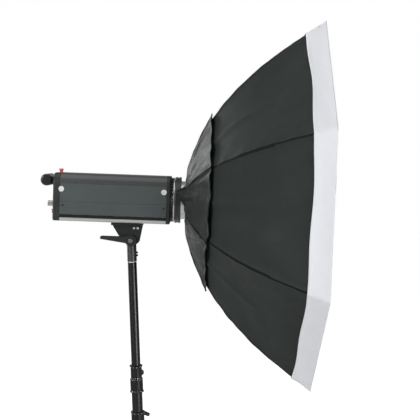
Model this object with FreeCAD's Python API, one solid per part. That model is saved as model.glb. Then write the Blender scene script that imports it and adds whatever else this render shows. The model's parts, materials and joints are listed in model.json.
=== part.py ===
# Studio softbox on a mains flash head, carried by a three-section light stand.
# Millimetres, +Z up. The origin is on the column axis at floor level and +X points
# the way the light shines. The head is built level, with its tilt pivot at the
# origin, and is then tipped and lifted into place.
import FreeCAD, Part
import math
import os
from FreeCAD import Vector

os.makedirs("parts", exist_ok=True)

X = Vector(1, 0, 0)
Y = Vector(0, 1, 0)
Z = Vector(0, 0, 1)
ORIGIN = Vector(0, 0, 0)

# Gaps
GAP = 0.3
RUN = 0.05

# Head position
PIVOT_Z = 1300.0
HEAD_TILT = 3.9
AXIS_Z = 115.0
RING_X = 126.0

# Column, heights above the floor
UPPER_R = 12.5
UPPER_BORE = 11.0
MIDDLE_R = 15.0
MIDDLE_BORE = 13.2
LOWER_R = 17.5
LOWER_BORE = 15.8
UPPER_BOTTOM = 600.0
UPPER_TOP = 1237.0
MIDDLE_BOTTOM = 250.0
MIDDLE_TOP = 910.0
LOWER_BOTTOM = 112.0
LOWER_TOP = 779.0
UPPER_CLAMP_TOP = 947.0
LOWER_CLAMP_TOP = 816.0
BUSH_LENGTH = 30.0

# Clamp knobs: heading, height where the screw's axis meets the column's axis, and slope down outwards
UPPER_KNOB_AZIMUTH = 70.0
UPPER_KNOB_Z = 919.0
LOWER_KNOB_AZIMUTH = 25.0
LOWER_KNOB_Z = 819.0
LOWER_KNOB_SLOPE = -28.0

# Tripod
LEG_AZIMUTHS = (0.0, 120.0, 240.0)
SPREAD = 45.0
PIVOT_R = 34.0
BRACE = 260.0
LEG_TAIL = 150.0
LEG_END_Z = 16.0
LEG_HALF_W = 7.0
LEG_HALF_D = 9.0
LEG_WALL = 1.5
STRIP_T = 2.0
STRIP_HALF_D = 7.0
PIN_R = 3.0
COLLAR_HALF_H = 22.0
COLLAR_R = 23.0
COLLAR_KNOB_AZIMUTH = 60.0
FOOT_R = 17.0
FOOT_PAD = 7.0

# Swivel socket and tilt bracket, from the tilt pivot
SOCKET_R = 13.3
SOCKET_BOTTOM = -60.0
SPIGOT_R = 8.0
SPIGOT_TOP = -14.0
SHOULDER_R = 11.5
PLATE_IN = 14.2
PLATE_OUT = 18.0
BRACKET_TOP = 45.0
BOLT_R = 4.0
LEVER_HUB_R = 15.0
LEVER_Y = -34.0

# Lamp case, from the lamp axis
CASE_REAR = -211.0
CASE_JOIN_REAR = -192.0
CASE_JOIN_FRONT = 96.0
CASE_FRONT = 106.0
CASE_HALF_W = 62.0
CASE_HALF_H = 65.0
CASE_TOP_R = 27.0
CASE_BOTTOM_R = 10.0
CASE_WALL = 2.5
PANEL_TOP = 38.0
PANEL_BOTTOM = -46.5
PAN_TOP = -55.0
GROOVE_Z = -12.0
DISC_Z = 22.0
DISC_R = 7.5
SCREW_Z = -22.0

# Rear panel
PANEL_T = 4.0
DISPLAY_HALF_W = 23.0
DISPLAY_HALF_H = 9.0
DISPLAY_Z = 28.0
DISPLAY_GAP = 0.2
DISPLAY_DEPTH = 2.0
BUTTON_YS = (-16.0, 16.0)
BUTTON_Z = 9.0
BUTTON_R = 4.5
DIAL_Y = -42.0
DIAL_R = 7.5
DIAL_L = 15.5
DIAL_FLUTES = 16
DIAL_SHAFT_R = 3.0
JACK_Y = 24.0
ROW_Z = -19.0
JACK_BODY_R = 6.0
JACK_RIM = 1.5
JACK_BORE_R = 3.2
JACK_BORE_L = 14.0
SWITCH_Y = -44.0
SWITCH_Z = -39.0
SWITCH_HALF_W = 7.0
SWITCH_SLOT_HALF_H = 6.0
ROCKER_PIN_R = 1.0
ROCKER_PIN_OUT = 1.2
ROCKER_PIN_IN = 1.6
INLET_Y = 16.0
INLET_Z = -40.0
INLET_HALF_W = 12.3
INLET_HALF_H = 8.3
INLET_DEPTH = 16.0
INLET_WALL = 3.0
INLET_RIM = 2.0
GRIP_X = -232.5
GRIP_Z = 44.5
GRIP_R = 16.0
SENSOR_X = -199.0
SENSOR_BASE_R = 4.0
SENSOR_TOP_R = 6.3

# Lamp front and bayonet, along the lamp axis from the tilt pivot
DISC_X = 100.0
VENT_SEAT_R = 56.5
VENT_R = 60.5
FLANGE_X = 114.3
FLANGE_R = 62.0
FLANGE_T = 2.0
INSERT_R = 49.0
INSERT_BORE = 45.5
LUG_R = 53.0
LUG_ANGLE = 28.0
SLOT_ANGLE = 32.0
TWIST = 36.0
DOME_R = 40.0
DOME_START = 103.3
DOME_SHOULDER = 138.0

# Softbox, along the lamp axis from the speed ring's mid plane
SIDES = 8
HALF_SIDE = 180.0 / SIDES
RING_R = 63.5
RING_HALF = 8.0
NECK_R = 52.2
NECK_BORE = 49.6
HUB_START = 22.0
HUB_END = 38.0
HUB_R = 56.0
SHELL_POLES = ((29.1, 84.0), (59.5, 252.5), (171.5, 383.0), (362.0, 510.0))
SHELL_T = 2.0
SKIRT_POLES = ((15.5, 59.5), (42.3, 173.3), (88.0, 256.0))
SKIRT_T = 1.5
RIB_R = 3.5
RIB_INSET = 6.6
RIB_ROOT = 56.5
RIB_END_T = 0.975
SOCKET_OUT_R = 5.5
SOCKET_END = 80.0
SEAM_GAP = 0.4
DIFFUSER_START = 314.0
DIFFUSER_FRONT = 366.2
DIFFUSER_T = 1.6
BAFFLE_S = 200.0
BAFFLE_R = 345.0
BAFFLE_STRAP = 366.0


def rod(radius, length, start, direction):
    return Part.makeCylinder(radius, length, start, direction)


def pipe(outer, inner, length, start, direction):
    return rod(outer, length, start, direction).cut(rod(inner, length, start, direction))


def block(x0, x1, y0, y1, z0, z1):
    return Part.makeBox(x1 - x0, y1 - y0, z1 - z0, Vector(x0, y0, z0))


def plate_xz(points, y0, y1):
    corners = [Vector(x, y0, z) for x, z in points]
    face = Part.Face(Part.makePolygon(corners + corners[:1]))
    return face.extrude(Vector(0, y1 - y0, 0))


def sector(r0, r1, x0, x1, middle, span):
    corners = [Vector(x0, r0, 0), Vector(x1, r0, 0), Vector(x1, r1, 0), Vector(x0, r1, 0)]
    face = Part.Face(Part.makePolygon(corners + corners[:1]))
    face.rotate(ORIGIN, X, middle - span / 2)
    return face.revolve(ORIGIN, X, span)


def fused(shapes):
    return shapes[0].multiFuse(shapes[1:]).removeSplitter()


def heading(azimuth, slope=0.0):
    a = math.radians(azimuth)
    s = math.radians(slope)
    return Vector(math.cos(a) * math.cos(s), math.sin(a) * math.cos(s), math.sin(s))


def save(name, shape):
    shape.exportStep("parts/" + name + ".step")


def save_upright(name, shape):
    lifted = shape.copy()
    lifted.translate(Vector(0, 0, PIVOT_Z))
    save(name, lifted)


def save_head(name, shape):
    tipped = shape.copy()
    tipped.rotate(ORIGIN, Y, HEAD_TILT)
    save_upright(name, tipped)


def save_lamp(name, shape):
    moved = shape.copy()
    moved.translate(Vector(0, 0, AXIS_Z))
    save_head(name, moved)


def save_softbox(name, shape):
    moved = shape.copy()
    moved.translate(Vector(RING_X, 0, 0))
    save_lamp(name, moved)


# ---------------------------------------------------------------- column


def column_tube(outer, inner, bottom, top, bush_r):
    body = pipe(outer, inner, top - bottom, Vector(0, 0, bottom), Z)
    if bush_r:
        bush = pipe(bush_r, inner - 2.0, BUSH_LENGTH, Vector(0, 0, bottom - BUSH_LENGTH), Z)
        stem = pipe(inner, inner - 2.0, BUSH_LENGTH, Vector(0, 0, bottom), Z)
        body = fused([body, bush, stem])
    return body


def clamp_casting(top, flare_top_r, barrel_r, sleeve_r, flare_bottom_r, slide_r, tube_r, boss):
    flare_h = 4.0
    barrel_h = 33.0
    sleeve_h = 33.0
    z = top - flare_h
    solids = [Part.makeCone(barrel_r, flare_top_r, flare_h, Vector(0, 0, z), Z)]
    z -= barrel_h
    solids.append(rod(barrel_r, barrel_h, Vector(0, 0, z), Z))
    z -= sleeve_h
    solids.append(rod(sleeve_r, sleeve_h, Vector(0, 0, z), Z))
    z -= flare_h
    solids.append(Part.makeCone(flare_bottom_r, sleeve_r, flare_h, Vector(0, 0, z), Z))
    solids.append(boss)
    body = fused(solids)
    guide = rod(slide_r + RUN, top - z + 2, Vector(0, 0, z - 1), Z)
    seat = rod(tube_r, flare_h + sleeve_h + 1, Vector(0, 0, z - 1), Z)
    return body.cut(guide).cut(seat).removeSplitter()


def knob_boss(height, azimuth, slope, start, end, radius):
    direction = heading(azimuth, slope)
    base = Vector(0, 0, height) + direction * start
    return rod(radius, end - start, base, direction)


def thumb_knob(height, azimuth, slope, tip, start, end, radius, flutes):
    direction = heading(azimuth, slope)
    centre = Vector(0, 0, height)
    stem = rod(PIN_R, start - tip, centre + direction * tip, direction)
    head = rod(radius, end - start, centre + direction * start, direction)
    head = head.makeFillet(radius * 0.18, head.Edges)
    across = direction.cross(Z)
    across.normalize()
    for i in range(flutes):
        groove = rod(radius * 0.16, end - start + 2, centre + direction * (start - 1), direction)
        groove.translate(across * radius * 1.06)
        groove.rotate(centre, direction, 360.0 * i / flutes)
        head = head.cut(groove)
    return head.fuse(stem).removeSplitter()


def screw_tip(tube_r, slope):
    """How far along its axis a clamp screw starts, so that its end just clears the tube inside."""
    lean = math.radians(slope)
    return (tube_r + GAP + PIN_R * abs(math.sin(lean))) / math.cos(lean)


def build_column():
    upper_at = (UPPER_KNOB_Z, UPPER_KNOB_AZIMUTH, 0)
    lower_at = (LOWER_KNOB_Z, LOWER_KNOB_AZIMUTH, LOWER_KNOB_SLOPE)
    save("upper_tube", column_tube(UPPER_R, UPPER_BORE, UPPER_BOTTOM, UPPER_TOP, MIDDLE_BORE - RUN))
    save("middle_tube", column_tube(MIDDLE_R, MIDDLE_BORE, MIDDLE_BOTTOM, MIDDLE_TOP, LOWER_BORE - RUN))
    save("lower_tube", column_tube(LOWER_R, LOWER_BORE, LOWER_BOTTOM, LOWER_TOP, 0))
    upper_boss = knob_boss(*upper_at, UPPER_R, 24.0, 7.0)
    lower_boss = knob_boss(*lower_at, MIDDLE_R + 3, 25.0, 6.0)
    upper = clamp_casting(UPPER_CLAMP_TOP, 18.5, 15.6, 17.8, 20.5, UPPER_R, MIDDLE_R, upper_boss)
    lower = clamp_casting(LOWER_CLAMP_TOP, 20.0, 18.3, 20.3, 22.5, MIDDLE_R, LOWER_R, lower_boss)
    save("upper_clamp", upper.cut(knob_boss(*upper_at, 0, 30.0, PIN_R + RUN)))
    save("lower_clamp", lower.cut(knob_boss(*lower_at, 0, 30.0, PIN_R + RUN)))
    upper_tip = screw_tip(UPPER_R, 0)
    lower_tip = screw_tip(MIDDLE_R, LOWER_KNOB_SLOPE)
    save("upper_clamp_knob", thumb_knob(*upper_at, upper_tip, 24.5, 36.0, 8.5, 8))
    save("lower_clamp_knob", thumb_knob(*lower_at, lower_tip, 26.0, 38.0, 5.5, 8))


# ---------------------------------------------------------------- tripod


def in_leg_plane(shape, azimuth):
    turned_shape = shape.copy()
    turned_shape.rotate(ORIGIN, Z, azimuth)
    return turned_shape


def collar_z():
    return base_z() + 2 * BRACE * math.cos(math.radians(SPREAD))


def base_z():
    return LEG_END_Z + LEG_TAIL * math.cos(math.radians(SPREAD))


def bar_along(length, half_depth, y0, y1, at, angle):
    """A flat bar with round ends whose first pivot is at a point, leaning out from straight down."""
    bar = block(0, length, y0, y1, -half_depth, half_depth)
    first = rod(half_depth, y1 - y0, Vector(0, y0, 0), Y)
    last = rod(half_depth, y1 - y0, Vector(length, y0, 0), Y)
    body = fused([bar, first, last])
    body.rotate(ORIGIN, Y, 90 - angle)
    body.translate(at)
    return body


def ear_pair(height, inner, thickness, reach):
    ears = []
    for side in (-1, 1):
        y0 = side * inner
        y1 = side * (inner + thickness)
        low = min(y0, y1)
        ears.append(block(LOWER_R + 1.0, PIVOT_R, low, low + thickness, height - reach, height + reach))
        ears.append(rod(reach, thickness, Vector(PIVOT_R, low, height), Y))
    return ears


def build_base():
    z = base_z()
    barrel_r = 24.0
    solids = [rod(barrel_r, 48.0, Vector(0, 0, z - 20), Z)]
    solids.append(Part.makeCone(17.0, barrel_r, 8.0, Vector(0, 0, z - 28), Z))
    head_r = 5.0
    ear_in = LEG_HALF_W + GAP + STRIP_T + GAP
    for azimuth in LEG_AZIMUTHS:
        parts = ear_pair(z, ear_in, 3.0, 10.0)
        for side in (-1, 1):
            face = side * (ear_in + 3.0)
            parts.append(rod(head_r, 1.6, Vector(PIVOT_R, face, z), Y * side))
        for part in parts:
            solids.append(in_leg_plane(part, azimuth))
    body = fused(solids)
    seat = rod(LOWER_R, 80.0, Vector(0, 0, LOWER_BOTTOM), Z)
    save("base_casting", body.cut(seat).removeSplitter())


def build_collar():
    z = collar_z()
    solids = [rod(COLLAR_R, 2 * COLLAR_HALF_H, Vector(0, 0, z - COLLAR_HALF_H), Z)]
    solids.append(knob_boss(z, COLLAR_KNOB_AZIMUTH, 0, LOWER_R, 30.0, 9.0))
    for azimuth in LEG_AZIMUTHS:
        ear_in = LEG_HALF_W + GAP
        parts = ear_pair(z, ear_in, 3.0, 11.0)
        parts.append(rod(PIN_R, 2 * (ear_in + 4.4), Vector(PIVOT_R, -ear_in - 4.4, z), Y))
        for side in (-1, 1):
            parts.append(rod(5.0, 1.6, Vector(PIVOT_R, side * (ear_in + 3.0), z), Y * side))
        for part in parts:
            solids.append(in_leg_plane(part, azimuth))
    body = fused(solids)
    bore = rod(LOWER_R + RUN, 2 * COLLAR_HALF_H + 2, Vector(0, 0, z - COLLAR_HALF_H - 1), Z)
    hole = knob_boss(z, COLLAR_KNOB_AZIMUTH, 0, 0, 40.0, PIN_R + RUN)
    save("leg_collar", body.cut(bore).cut(hole).removeSplitter())
    save("leg_collar_knob", thumb_knob(z, COLLAR_KNOB_AZIMUTH, 0, LOWER_R + GAP, 30.5, 50.0, 15.0, 10))


def build_legs():
    z = collar_z()
    reach = 2 * BRACE + LEG_TAIL
    top = Vector(PIVOT_R, 0, z)
    out = Vector(math.sin(math.radians(SPREAD)), 0, -math.cos(math.radians(SPREAD)))
    middle = top + out * BRACE
    end = top + out * reach
    half_w = LEG_HALF_W
    inner_w = half_w - LEG_WALL
    inner_d = LEG_HALF_D - LEG_WALL
    hollow_start = LEG_HALF_D + 2.0

    leg = block(0, reach, -half_w, half_w, -LEG_HALF_D, LEG_HALF_D)
    leg = leg.fuse(rod(LEG_HALF_D, 2 * half_w, Vector(0, -half_w, 0), Y)).removeSplitter()
    leg = leg.cut(block(hollow_start, reach + 1, -inner_w, inner_w, -inner_d, inner_d))
    leg.rotate(ORIGIN, Y, 90 - SPREAD)
    leg.translate(top)
    for pivot in (top, middle):
        leg = leg.cut(rod(PIN_R + RUN, 2 * half_w + 2, pivot - Y * (half_w + 1), Y))

    inner = half_w + GAP
    length = BRACE
    strips = [bar_along(length, STRIP_HALF_D, inner, inner + STRIP_T, middle, -SPREAD)]
    strips.append(bar_along(length, STRIP_HALF_D, -inner - STRIP_T, -inner, middle, -SPREAD))
    spacer = bar_along(24.0, STRIP_HALF_D, -inner - STRIP_T, inner + STRIP_T, middle, -SPREAD)
    down = Vector(-math.sin(math.radians(SPREAD)), 0, -math.cos(math.radians(SPREAD)))
    spacer.translate(down * (length - 24.0))
    pin_half = inner + STRIP_T + 1.2
    pin = rod(PIN_R, 2 * pin_half, middle - Y * pin_half, Y)
    heads = [rod(5.0, 1.4, middle + Y * side * (inner + STRIP_T), Y * side) for side in (-1, 1)]
    brace = fused(strips + [spacer, pin] + heads)

    boot = rod(12.5, 34.0, end - out * 30.0, out)
    pad = rod(FOOT_R, FOOT_PAD, Vector(end.x, 0, 0), Z)
    pad = pad.makeFillet(1.5, [pad.Edges[0], pad.Edges[2]])
    foot = fused([boot, pad])
    foot = foot.cut(block(0, 2000, -100, 100, -100, 0))
    slot = block(0, reach, -half_w, half_w, -LEG_HALF_D, LEG_HALF_D)
    slot.rotate(ORIGIN, Y, 90 - SPREAD)
    slot.translate(top)
    foot = foot.cut(slot).removeSplitter()

    for number, azimuth in enumerate(LEG_AZIMUTHS, 1):
        save("leg_%d" % number, in_leg_plane(leg, azimuth))
        save("brace_%d" % number, in_leg_plane(brace, azimuth))
        save("foot_%d" % number, in_leg_plane(foot, azimuth))


# ---------------------------------------------------------------- swivel and tilt


def build_swivel():
    socket = rod(SOCKET_R, -SOCKET_BOTTOM, Vector(0, 0, SOCKET_BOTTOM), Z)
    knuckle_half = PLATE_IN - GAP
    knuckle = rod(SOCKET_R, 2 * knuckle_half, Vector(0, -knuckle_half, 0), Y)
    socket = fused([socket, knuckle])
    socket = socket.cut(rod(SPIGOT_R + RUN, 48.0, Vector(0, 0, SOCKET_BOTTOM), Z))
    socket = socket.cut(rod(BOLT_R + RUN, 40.0, Vector(0, -20, 0), Y))
    screws = []
    for z in (-36.0, -44.0):
        socket = socket.cut(rod(2.05, 20.0, Vector(0, 0, z), X))
        screw = rod(2.0, 5.0, Vector(SPIGOT_R + GAP, 0, z), X)
        head = rod(2.8, 3.4, Vector(SOCKET_R + 0.2, 0, z), X)
        socket_hole = rod(1.3, 2.0, Vector(SOCKET_R + 1.8, 0, z), X)
        screws.append(screw.fuse(head).cut(socket_hole).removeSplitter())
    save_upright("swivel_socket", socket)
    save_upright("socket_screws", Part.makeCompound(screws))

    stud = rod(SPIGOT_R, SPIGOT_TOP + 63.0, Vector(0, 0, -63), Z)
    stud = stud.cut(pipe(SPIGOT_R + 1, SPIGOT_R - 1.2, 12.0, Vector(0, 0, -46), Z))
    plug = rod(UPPER_BORE, 24.0, Vector(0, 0, -87), Z)
    save_upright("spigot", fused([stud, plug]))
    save_upright("spigot_shoulder", pipe(SHOULDER_R, SPIGOT_R, 2.7, Vector(0, 0, -63), Z))


def build_bracket():
    cheek = [(-55, BRACKET_TOP), (31, BRACKET_TOP), (22, -5), (14, -12), (-9, -12), (-34, 12)]
    solids = [plate_xz(cheek, PLATE_IN, PLATE_OUT)]
    solids.append(plate_xz(cheek, -PLATE_OUT, -PLATE_IN))
    for y0 in (PLATE_IN, -PLATE_OUT):
        solids.append(rod(16.5, PLATE_OUT - PLATE_IN, Vector(0, y0, 0), Y))
    solids.append(block(-55, 31, -28, 28, BRACKET_TOP - 4, AXIS_Z - CASE_HALF_H))
    body = fused(solids)
    body = body.cut(rod(BOLT_R, 60.0, Vector(0, -30, 0), Y))
    save_head("tilt_bracket", body)

    screws = []
    for x in (8.0, 18.0):
        for side in (-1, 1):
            head = rod(3.0, 1.8, Vector(x, side * PLATE_OUT, 34), Y * side)
            head = head.cut(rod(1.5, 2.0, Vector(x, side * (PLATE_OUT + 0.8), 34), Y * side))
            screws.append(head)
    save_head("bracket_screws", Part.makeCompound(screws))

    shank = rod(BOLT_R, 22.0 - LEVER_Y, Vector(0, LEVER_Y - 2, 0), Y)
    head = rod(7.0, 5.0, Vector(0, PLATE_OUT, 0), Y)
    cap = rod(6.0, 2.5, Vector(0, LEVER_Y - 2.8, 0), Y)
    cap = cap.makeFillet(1.0, [cap.Edges[2]])
    save_head("tilt_bolt", fused([shank, head, cap]))


def build_lever():
    hub_start = -PLATE_OUT - GAP
    hub = rod(LEVER_HUB_R, hub_start - LEVER_Y, Vector(0, LEVER_Y, 0), Y)
    arm_points = [(-4, 11), (-80, 11), (-84, 8), (-83.5, 2), (-4, -9)]
    arm = plate_xz(arm_points, LEVER_Y + 2, LEVER_Y + 12)
    arm_edges = [e for e in arm.Edges if abs(e.tangentAt(e.FirstParameter).y) < 0.01]
    arm = arm.makeFillet(2.0, arm_edges)
    body = fused([hub, arm])
    groove = pipe(12.5, 9.5, 1.5, Vector(0, LEVER_Y, 0), Y)
    body = body.cut(groove)
    body = body.cut(rod(BOLT_R + RUN, 40.0, Vector(0, LEVER_Y - 5, 0), Y))
    save_head("tilt_lever", body)


# ---------------------------------------------------------------- lamp case


def rounded_bar(x0, x1, inset):
    half_w = CASE_HALF_W - inset
    half_h = CASE_HALF_H - inset
    bar = block(x0, x1, -half_w, half_w, -half_h, half_h)
    along = [e for e in bar.Edges if abs(e.tangentAt(e.FirstParameter).x) > 0.99]
    top = [e for e in along if e.BoundBox.ZMin > 0]
    bar = bar.makeFillet(CASE_TOP_R - inset, top)
    along = [e for e in bar.Edges if e.BoundBox.XLength > 1 and e.BoundBox.ZLength < 0.01]
    bottom = [e for e in along if e.BoundBox.ZMax < -half_h + 0.01]
    return bar.makeFillet(CASE_BOTTOM_R - inset, bottom)


def inlet_block(x0, x1, grow):
    half_w = INLET_HALF_W + grow
    half_h = INLET_HALF_H + grow
    return block(x0, x1, INLET_Y - half_w, INLET_Y + half_w, INLET_Z - half_h, INLET_Z + half_h)


def build_case():
    x0 = CASE_JOIN_REAR + GAP / 2
    x1 = CASE_JOIN_FRONT - GAP / 2
    wall = rounded_bar(x0, x1, 0).cut(rounded_bar(x0 - 1, x1 + 1, CASE_WALL))
    wide = CASE_HALF_W + 5
    half = GAP / 2

    def slab(z0, z1):
        return wall.common(block(x0 - 1, x1 + 1, -wide, wide, z0, z1))

    save_lamp("top_cover", slab(PANEL_TOP + half, CASE_HALF_H + 1))
    panels = slab(PANEL_BOTTOM + half, PANEL_TOP - half)
    for side in (-1, 1):
        y0 = side * CASE_HALF_W
        groove = block(x0 - 1, x1 + 1, y0 - 0.7, y0 + 0.7, GROOVE_Z - 0.6, GROOVE_Z + 0.6)
        panels = panels.cut(groove)
    save_lamp("side_panels", panels)
    save_lamp("trim_strips", slab(PAN_TOP + half, PANEL_BOTTOM - half))
    save_lamp("bottom_pan", slab(-CASE_HALF_H - 1, PAN_TOP - half))

    discs = []
    screws = []
    for x, small_x in ((-188.0, -184.0), (89.0, 89.0)):
        for side in (-1, 1):
            face = side * CASE_HALF_W
            disc = rod(DISC_R, 1.6, Vector(x, face, DISC_Z), Y * side)
            disc = disc.makeFillet(0.6, [e for e in disc.Edges if abs(e.BoundBox.YMin - face) > 1.0])
            floor = face + side * 0.9
            y0 = min(floor, floor + side * 2.0)
            discs.append(disc.cut(block(x - 4.5, x + 4.5, y0, y0 + 2.0, DISC_Z - 0.6, DISC_Z + 0.6)))
            head = rod(2.6, 0.9, Vector(small_x, face, SCREW_Z), Y * side)
            screws.append(head.cut(rod(1.2, 2.0, Vector(small_x, face + side * 0.4, SCREW_Z), Y * side)))
    save_lamp("side_discs", Part.makeCompound(discs))
    save_lamp("case_screws", Part.makeCompound(screws))

    cans = []
    for y in (-22.0, 22.0):
        for z in (-28.0, 14.0):
            cans.append(rod(17.5, 90.0, Vector(-150, y, z), X))
    save_lamp("capacitors", Part.makeCompound(cans))


def rocker_pin(radius, extra):
    """The pin that the power switch rocks on, across its slot and into the cap's wall on both sides."""
    reach = SWITCH_HALF_W + ROCKER_PIN_OUT + extra
    return rod(radius, 2 * reach, Vector(CASE_REAR + ROCKER_PIN_IN, SWITCH_Y - reach, SWITCH_Z), Y)


def build_rear_cap():
    outer = rounded_bar(CASE_REAR, CASE_JOIN_REAR - GAP / 2, 0)
    rim = [e for e in outer.Edges if e.BoundBox.XMax < CASE_REAR + 0.01]
    outer = outer.makeFillet(3.5, rim)
    body = outer.cut(rounded_bar(CASE_REAR + PANEL_T, CASE_JOIN_REAR + 1, CASE_WALL + 1.0))
    start = CASE_REAR - 1
    through = PANEL_T + 2
    half_w = DISPLAY_HALF_W + DISPLAY_GAP
    half_h = DISPLAY_HALF_H + DISPLAY_GAP
    floor = CASE_REAR + DISPLAY_DEPTH
    body = body.cut(block(start, floor, -half_w, half_w, DISPLAY_Z - half_h, DISPLAY_Z + half_h))
    for y in BUTTON_YS:
        body = body.cut(rod(BUTTON_R + GAP, through, Vector(start, y, BUTTON_Z), X))
    end = start + through
    body = body.cut(rod(DIAL_SHAFT_R + RUN, through, Vector(start, DIAL_Y, ROW_Z), X))
    body = body.cut(rod(JACK_BODY_R, through, Vector(start, JACK_Y, ROW_Z), X))
    half_w = SWITCH_HALF_W + GAP
    top = SWITCH_Z + SWITCH_SLOT_HALF_H
    bottom = SWITCH_Z - SWITCH_SLOT_HALF_H
    body = body.cut(block(start, end, SWITCH_Y - half_w, SWITCH_Y + half_w, bottom, top))
    body = body.cut(inlet_block(start, end, INLET_WALL))
    body = body.cut(rod(SENSOR_BASE_R, 12.0, Vector(SENSOR_X, 0, CASE_HALF_H - 10), Z))
    body = body.cut(rocker_pin(ROCKER_PIN_R + RUN, GAP))
    save_lamp("rear_cap", body)

    half_w = DISPLAY_HALF_W
    half_h = DISPLAY_HALF_H
    window = block(CASE_REAR + 0.5, floor, -half_w, half_w, DISPLAY_Z - half_h, DISPLAY_Z + half_h)
    save_lamp("display_window", window)
    for number, y in enumerate(BUTTON_YS, 1):
        cap = rod(BUTTON_R, 6.0, Vector(CASE_REAR - 1.6, y, BUTTON_Z), X)
        cap = cap.makeFillet(0.7, [e for e in cap.Edges if e.BoundBox.XMax < CASE_REAR - 1.5])
        save_lamp("button_%d" % number, cap)


def build_rear_fittings():
    tip = CASE_REAR - DIAL_L - 0.4
    knob = rod(DIAL_R, DIAL_L, Vector(tip, DIAL_Y, ROW_Z), X)
    knob = knob.makeFillet(0.8, [e for e in knob.Edges if e.BoundBox.XMax < tip + 0.4])
    for i in range(DIAL_FLUTES):
        groove = rod(0.7, DIAL_L - 2.0, Vector(tip + 1.0, DIAL_Y, ROW_Z + DIAL_R + 0.2), X)
        groove.rotate(Vector(0, DIAL_Y, ROW_Z), X, 360.0 / DIAL_FLUTES * i)
        knob = knob.cut(groove)
    shaft = rod(DIAL_SHAFT_R, 8.0, Vector(CASE_REAR - 1.0, DIAL_Y, ROW_Z), X)
    save_lamp("power_dial", knob.fuse(shaft).removeSplitter())

    mouth = Vector(CASE_REAR - JACK_RIM, JACK_Y, ROW_Z)
    jack = rod(JACK_BODY_R, 18.0, mouth, X)
    rim = rod(JACK_BODY_R + 1.5, JACK_RIM, mouth, X)
    jack = jack.fuse(rim).cut(rod(JACK_BORE_R, JACK_BORE_L, mouth, X))
    save_lamp("sync_jack", jack.removeSplitter())

    x0 = CASE_REAR - 1.5
    x1 = x0 + INLET_DEPTH
    body = inlet_block(CASE_REAR, x1 + INLET_WALL, INLET_WALL)
    rim = inlet_block(x0, CASE_REAR, INLET_WALL + INLET_RIM)
    body = body.fuse(rim).cut(inlet_block(x0 - 1, x1, 0))
    for dy, dz in ((-7, -2), (0, 2), (7, -2)):
        y = INLET_Y + dy
        z = INLET_Z + dz
        body = body.fuse(block(x1 - 9, x1 + 1, y - 1, y + 1, z - 2, z + 2))
    save_lamp("mains_inlet", body.removeSplitter())

    # rocker: a shallow V seen from the side, resting with its lower half pressed in
    px = CASE_REAR + ROCKER_PIN_IN
    outline = [(-5.6, 4.4), (-4.0, 0.2), (-5.6, -4.4), (1.2, -4.6), (1.2, 4.6)]
    rocker = plate_xz(outline, -SWITCH_HALF_W, SWITCH_HALF_W)
    rocker.rotate(ORIGIN, Y, -6)
    rocker.translate(Vector(px, SWITCH_Y, SWITCH_Z))
    save_lamp("power_switch", rocker.fuse(rocker_pin(ROCKER_PIN_R, 0)).removeSplitter())

    base = rod(SENSOR_BASE_R, 4.0, Vector(SENSOR_X, 0, CASE_HALF_H - 4), Z)
    foot = Part.makeCone(6.2, 4.2, 4.0, Vector(SENSOR_X, 0, CASE_HALF_H), Z)
    head = Part.makeCone(4.2, SENSOR_TOP_R, 4.0, Vector(SENSOR_X, 0, CASE_HALF_H + 4), Z)
    top = rod(SENSOR_TOP_R, 2.5, Vector(SENSOR_X, 0, CASE_HALF_H + 8), Z)
    save_lamp("slave_sensor", fused([base, foot, head, top]))

    grip = rod(GRIP_R, 92.0, Vector(GRIP_X, -46, GRIP_Z), Y)
    grip = grip.makeFillet(5.0, [e for e in grip.Edges if e.BoundBox.YLength < 0.1])
    arms = []
    for y0 in (-40.0, 28.0):
        arms.append(block(GRIP_X, CASE_REAR, y0, y0 + 12, GRIP_Z - 11, GRIP_Z + 9))
    save_lamp("handle", fused([grip] + arms))


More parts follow.
